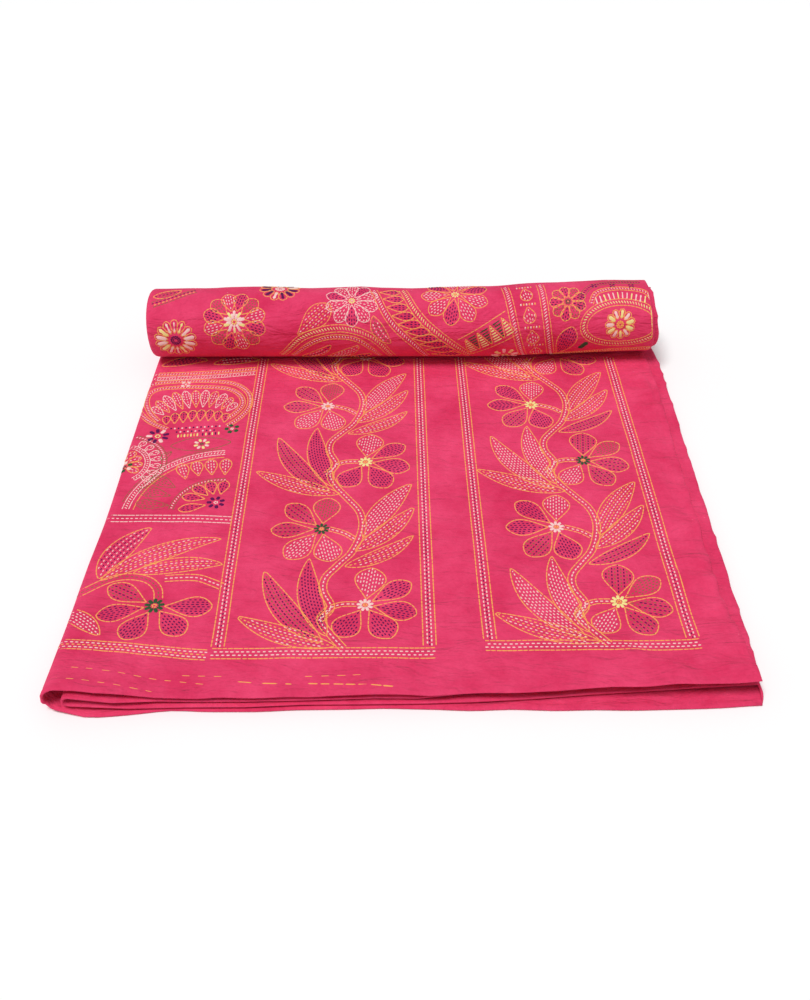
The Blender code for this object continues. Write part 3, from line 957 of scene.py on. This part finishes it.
def roll_front():
    """The field on the roll, from its top down to the flat part: along grows towards the viewer."""
    band("roll", [(4, 156), (27, 147), (52, 133)], 7, ("plum", "gold"), "olive")
    leaf("roll", (4, 144), (36, 131), 13, 2, ("plum", "olive"))
    satin_daisy("roll", (30, 198), 25, 14, ("white", "white", "yellow"), "plum")
    daisy("roll", (98, 177), 11, 36, 12, 17.5, ("plum", "olive", "white"), "white")
    small_daisy("roll", (98, 177), 13, 10, ("yellow", "white"), "yellow")
    satin_daisy("roll", (147, 129), 24, 12, ("plum", "plum", "plum", "white"), "white")
    drop("roll", (168, 191), (206, 157), 25, ("white", "gold"))
    daisy("roll", (230, 152), 5, 31, 10, 15, ("white", "white", "plum"), "yellow", "white")
    rope("roll", [(148, 224), (169, 198), (193, 187), (220, 184), (246, 191), (263, 205), (276, 228)],
         8, "yellow")
    rope("roll", [(160, 226), (177, 207), (197, 196), (220, 194), (238, 199), (253, 213), (262, 228)],
         5, "white")
    leaf("roll", (170, 230), (206, 204), 13, 4, ("plum", "white"))
    leaf("roll", (200, 230), (238, 205), 15, 4, ("white",))
    leaf("roll", (226, 232), (252, 220), 10, 3, ("plum",))
    leaf("roll", (254, 170), (275, 203), 15, 4, ("olive", "white"))

    rope("roll", ROPE_OUTER, 7.5, "white")
    rope("roll", ROPE_INNER, 8.5, "yellow")
    ladder("roll", ROPE_OUTER, ROPE_INNER, 10, 10.5, ("plum",), inset=0.14)
    daisy("roll", (347, 143), 6, 39, 9, 19, ("white", "white", "plum"), "yellow")
    zigzag("roll", (417, 189), (363, 221), 24, 4, ("yellow", "green"))
    small_daisy("roll", (406, 229), 17, 9, ("white", "yellow"), "yellow")
    rope("roll", [(404, 130), (412, 176), (428, 232)], 8, "white")
    rope("roll", [(444, 130), (449, 176), (461, 236)], 8, "white")
    for across, along in ((425, 138), (428, 163), (433, 188), (439, 211)):
        drop("roll", (across, along), (across + 4, along + 19), 15, ("white",))
        teeth("roll", [(across - 9, along - 2), (across + 9, along - 2.5)], 3.2, 3.2, ("white", "gold"))
    daisy("roll", (474, 160), 4, 21.5, 9, 13, ("plum", "olive"), "green")
    drop("roll", (466, 231), (480, 187), 23, ("plum",))
    sew("roll", "green", [(489, 218, 500, 207)], 8.5)

    rope("roll", arc((536, 187), 44, squash=0.56), 7.5, "yellow", pitch=3.2)
    satin_daisy("roll", (534, 187), 18, 11, ("yellow", "white"), "gold")
    teeth("roll", [(504, 161), (534, 154), (563, 159)], 11, 5.2, ("white", "white", "yellow"))
    rope("roll", [(486, 170), (493, 150), (508, 137), (532, 131), (560, 131)], 6, "plum", "olive")
    rope("roll", [(500, 164), (508, 150), (534, 144), (560, 147), (572, 158)], 5, "white")
    for across in (506, 527, 549):
        small_daisy("roll", (across, 139), 4, 4, ("plum",), "plum")
    rope("roll", [(462, 233), (524, 226), (578, 221)], 6.5, "yellow", pitch=3.0)


def roll_back():
    """The hidden back of the roll, finished plainly with the same motifs."""
    rope("roll", smooth([(16, 32), (290, 34), (560, 32)], 24), 6.5, "white")
    for k, across in enumerate((60, 155, 250, 345, 440, 535)):
        fills = (("white", "gold"), ("plum", "plum"), ("olive", "white"))[k % 3]
        daisy("roll", (across, 74), 5, 27, 10, 13, fills, ("yellow", "white")[k % 2])
    for across in (84, 180, 274, 370, 465):
        leaf("roll", (across, 56), (across + 40, 98), 14, 4, ("white", "gold"))


def fractional(values, wanted):
    """Where wanted lies among rising values, as an index with a fraction."""
    return np.interp(wanted, values, np.arange(len(values)))


def column_at(place, across, along):
    """The grid's column, as a fraction, of a place across the top layer or the roll's outside."""
    m = mouths(along)
    if place == "roll":
        share = (across - m["outer"]) / (m["right"] - m["outer"])
        first = len(SHARES["top"]) + len(SHARES["outer fold"])
        return first + np.clip(share, 0.0, 0.999) * len(SHARES["bottom"])
    share = (m["top hem"] - across) / (m["top hem"] - m["outer"])
    straight_part = fractional(np.append(SHARES["top"], 1.0), np.clip(share, 0.0, 1.0))
    past = np.maximum(m["outer"] - across, 0.0)
    half_way = (layer_height(3, m["outer"], along) - layer_height(0, m["outer"], along)) / 2
    around = math.pi * (m["outer depth"] + half_way) / 2
    return straight_part + np.clip(past / around, 0.0, 0.9) * len(SHARES["outer fold"])


MILLIMETRES = 1000.0      # in a metre
LEFT_OF_MIDDLE = 0.292    # the places across are counted from this far left of the box's middle
SETTLING_ROUNDS = 3       # to find the cloth's own length from what is seen


def on_flat_cloth(place, points):
    """From millimetres as seen in place to metres on the cloth, without its setbacks and leans."""
    across, seen = points[:, 0] / MILLIMETRES, points[:, 1] / MILLIMETRES
    along = FRONT_TO_ROLL + seen if place == "roll" else seen
    for _ in range(SETTLING_ROUNDS if place == "top" else 0):
        setback = read_off(FRONT_SETBACKS, "top", across) * looseness(along)
        along = seen - setback - drift(across, along)
    return across - lean(across, along) + SHIFT[0] - LEFT_OF_MIDDLE, along


def on_cloth(place, points):
    """The points in space of places on the flat cloth, and the cloth's normals there."""
    across, along = on_flat_cloth(place, points)
    row = np.clip(fractional(ROWS, along), 0, len(ROWS) - 1.001)
    column = np.clip(column_at(place, across, along), 0, FACE.shape[1] - 1.001)
    i, j = row.astype(int), column.astype(int)
    row_share, column_share = (row - i)[:, None], (column - j)[:, None]
    mixed = []
    for grid in (FACE, OUTWARD):
        low = grid[i, j] * (1 - column_share) + grid[i, j + 1] * column_share
        high = grid[i + 1, j] * (1 - column_share) + grid[i + 1, j + 1] * column_share
        mixed.append(low * (1 - row_share) + high * row_share)
    normal = mixed[1] / np.linalg.norm(mixed[1], axis=1, keepdims=True)
    return mixed[0], normal


STITCH_FACES = np.array([
    (0, 2, 4), (0, 4, 3), (2, 5, 7), (2, 7, 4), (4, 7, 6), (4, 6, 3), (1, 7, 5), (1, 6, 7),
])
STITCH_RISE = 0.00032              # of the ridge above the cloth, and for each millimetre of width
STITCH_RISE_PER_WIDTH = 0.00012
STITCH_SUNK = 0.00025              # of its edges and ends below the cloth's face
STITCH_SHOULDERS = (0.2, 0.8)      # along the stitch, where its full height begins and ends


def stitches(place, segments, width):
    """Points of small ridges of thread: for each stitch its two ends, and three points at each shoulder."""
    start, start_normal = on_cloth(place, segments[:, :2])
    end, end_normal = on_cloth(place, segments[:, 2:])
    way = end - start
    length = np.linalg.norm(way, axis=1, keepdims=True)
    normal = start_normal + end_normal
    normal /= np.linalg.norm(normal, axis=1, keepdims=True)
    side = np.cross(normal, way / np.maximum(length, 1e-6)) * width / (2 * MILLIMETRES)
    rise = normal * (STITCH_RISE + STITCH_RISE_PER_WIDTH * width)
    sunk = normal * STITCH_SUNK
    points = [start - sunk, end - sunk]
    for share in STITCH_SHOULDERS:
        middle = start + way * share
        points += [middle + side - sunk, middle - side - sunk, middle + rise]
    return np.stack(points, axis=1)


UNDER_ROLL_FROM = 506.0
SEEN_ACROSS = (-9.0, 572.0)


def seen_on_top(segments):
    """Which stitches lie on the cloth and not under the roll."""
    across, along = segments[:, (0, 2)], segments[:, (1, 3)]
    on_cloth_across = (across.min(axis=1) > SEEN_ACROSS[0]) & (across.max(axis=1) < SEEN_ACROSS[1])
    return (along.max(axis=1) < UNDER_ROLL_FROM) & on_cloth_across


def thread_mesh(colour):
    """All stitches of one colour as one mesh."""
    blocks = []
    for place, segments, width in SEWN[colour]:
        if place == "top":
            segments = segments[seen_on_top(segments)]
        if len(segments):
            blocks.append(stitches(place, segments, width))
    points = np.concatenate(blocks)
    first_points = np.arange(len(points)) * points.shape[1]
    faces = (STITCH_FACES[None] + first_points[:, None, None]).reshape(-1, 3)
    mesh = bpy.data.meshes.new(colour + "_stitches")
    mesh.from_pydata(points.reshape(-1, 3).tolist(), [], faces.tolist())
    mesh.shade_smooth()
    return mesh


def dress():
    """The cloth in the part's place, and the stitches on it."""
    sheet = closed_sheet("quilt_cloth", FACE, BACK, FROM_HEM, ROWS[:, None])
    quilt = add("quilt_cloth", sheet, cloth_material())
    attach(quilt, "root")
    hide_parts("quilt")
    vine_panel("left")
    vine_panel("right")
    left_field()
    front_dashes()
    roll_front()
    roll_back()
    for colour, shade in THREADS.items():
        material = plain_material(colour + "_thread", shade, 0.55, 0.1)[0]
        piece = add(colour + "_stitches", thread_mesh(colour), material)
        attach(piece, "root")


FLOOR_REACH = 6.0
FLOOR_DROP = 0.0004    # keeps the floor clear of the cloth's underside
FLOOR_WHITE = (0.97, 0.97, 0.97, 1.0)


def floor():
    """A plain white floor."""
    sides = ((-1, -1), (1, -1), (1, 1), (-1, 1))
    corners = [(x * FLOOR_REACH, y * FLOOR_REACH, -FLOOR_DROP) for x, y in sides]
    mesh = bpy.data.meshes.new("floor")
    mesh.from_pydata(corners, [], [(0, 1, 2, 3)])
    material = plain_material("floor_white", FLOOR_WHITE, 0.9)[0]
    add("floor", mesh, material)


def sun(name, left, elevation, strength, spread):
    """A wide soft light from in front, turned to the left and raised by these angles in degrees."""
    light = bpy.data.lights.new(name, "SUN")
    light.angle = math.radians(spread)
    light.energy = strength
    turn, up = math.radians(left), math.radians(elevation)
    towards = Vector((-math.sin(turn) * math.cos(up), -math.cos(turn) * math.cos(up), math.sin(up)))
    obj = bpy.data.objects.new(name, light)
    obj.rotation_euler = towards.to_track_quat("Z", "Y").to_euler()
    bpy.context.scene.collection.objects.link(obj)


WORLD_STRENGTH = 0.36
SUNS = (("high", 50.0, 70.0, 2.26, 22.0), ("front", -20.0, 35.0, 0.07, 50.0))


def light_the_scene():
    """A white sky with two suns, and colours shown as they are."""
    world = bpy.data.worlds.new("studio")
    world.use_nodes = True
    background = world.node_tree.nodes["Background"]
    background.inputs["Color"].default_value = (1.0, 1.0, 1.0, 1.0)
    background.inputs["Strength"].default_value = WORLD_STRENGTH
    bpy.context.scene.world = world
    for values in SUNS:
        sun(*values)
    bpy.context.scene.view_settings.view_transform = "Standard"


# The camera that the photo's outlines give: place in metres, turns in degrees, lens in pixels.
CAMERA_PLACE = (-0.00759, -0.77667, 0.66772)
CAMERA_DOWN = 41.572
CAMERA_RIGHT = 0.348
CAMERA_ROLL = 0.124
CAMERA_LENS_PIXELS = 1000.0
PHOTO_HEIGHT_PIXELS = 1000.0
SENSOR_WIDTH = 36.0


def place_camera():
    """The camera, at the photo's angle."""
    down, right, roll = (math.radians(a) for a in (CAMERA_DOWN, CAMERA_RIGHT, CAMERA_ROLL))
    forward = Vector((math.sin(right) * math.cos(down), math.cos(right) * math.cos(down), -math.sin(down)))
    across = Vector((math.cos(right), -math.sin(right), 0.0))
    up = across.cross(forward)
    tilted_across = across * math.cos(roll) + up * math.sin(roll)
    tilted_up = up * math.cos(roll) - across * math.sin(roll)
    lens = bpy.data.cameras.new("photo")
    lens.sensor_width = SENSOR_WIDTH
    lens.lens = CAMERA_LENS_PIXELS / PHOTO_HEIGHT_PIXELS * SENSOR_WIDTH
    camera = bpy.data.objects.new("photo", lens)
    turn = Matrix((tilted_across, tilted_up, -forward)).transposed().to_4x4()
    camera.matrix_world = Matrix.Translation(CAMERA_PLACE) @ turn
    bpy.context.scene.collection.objects.link(camera)
    bpy.context.scene.camera = camera


dress()
floor()
light_the_scene()
place_camera()
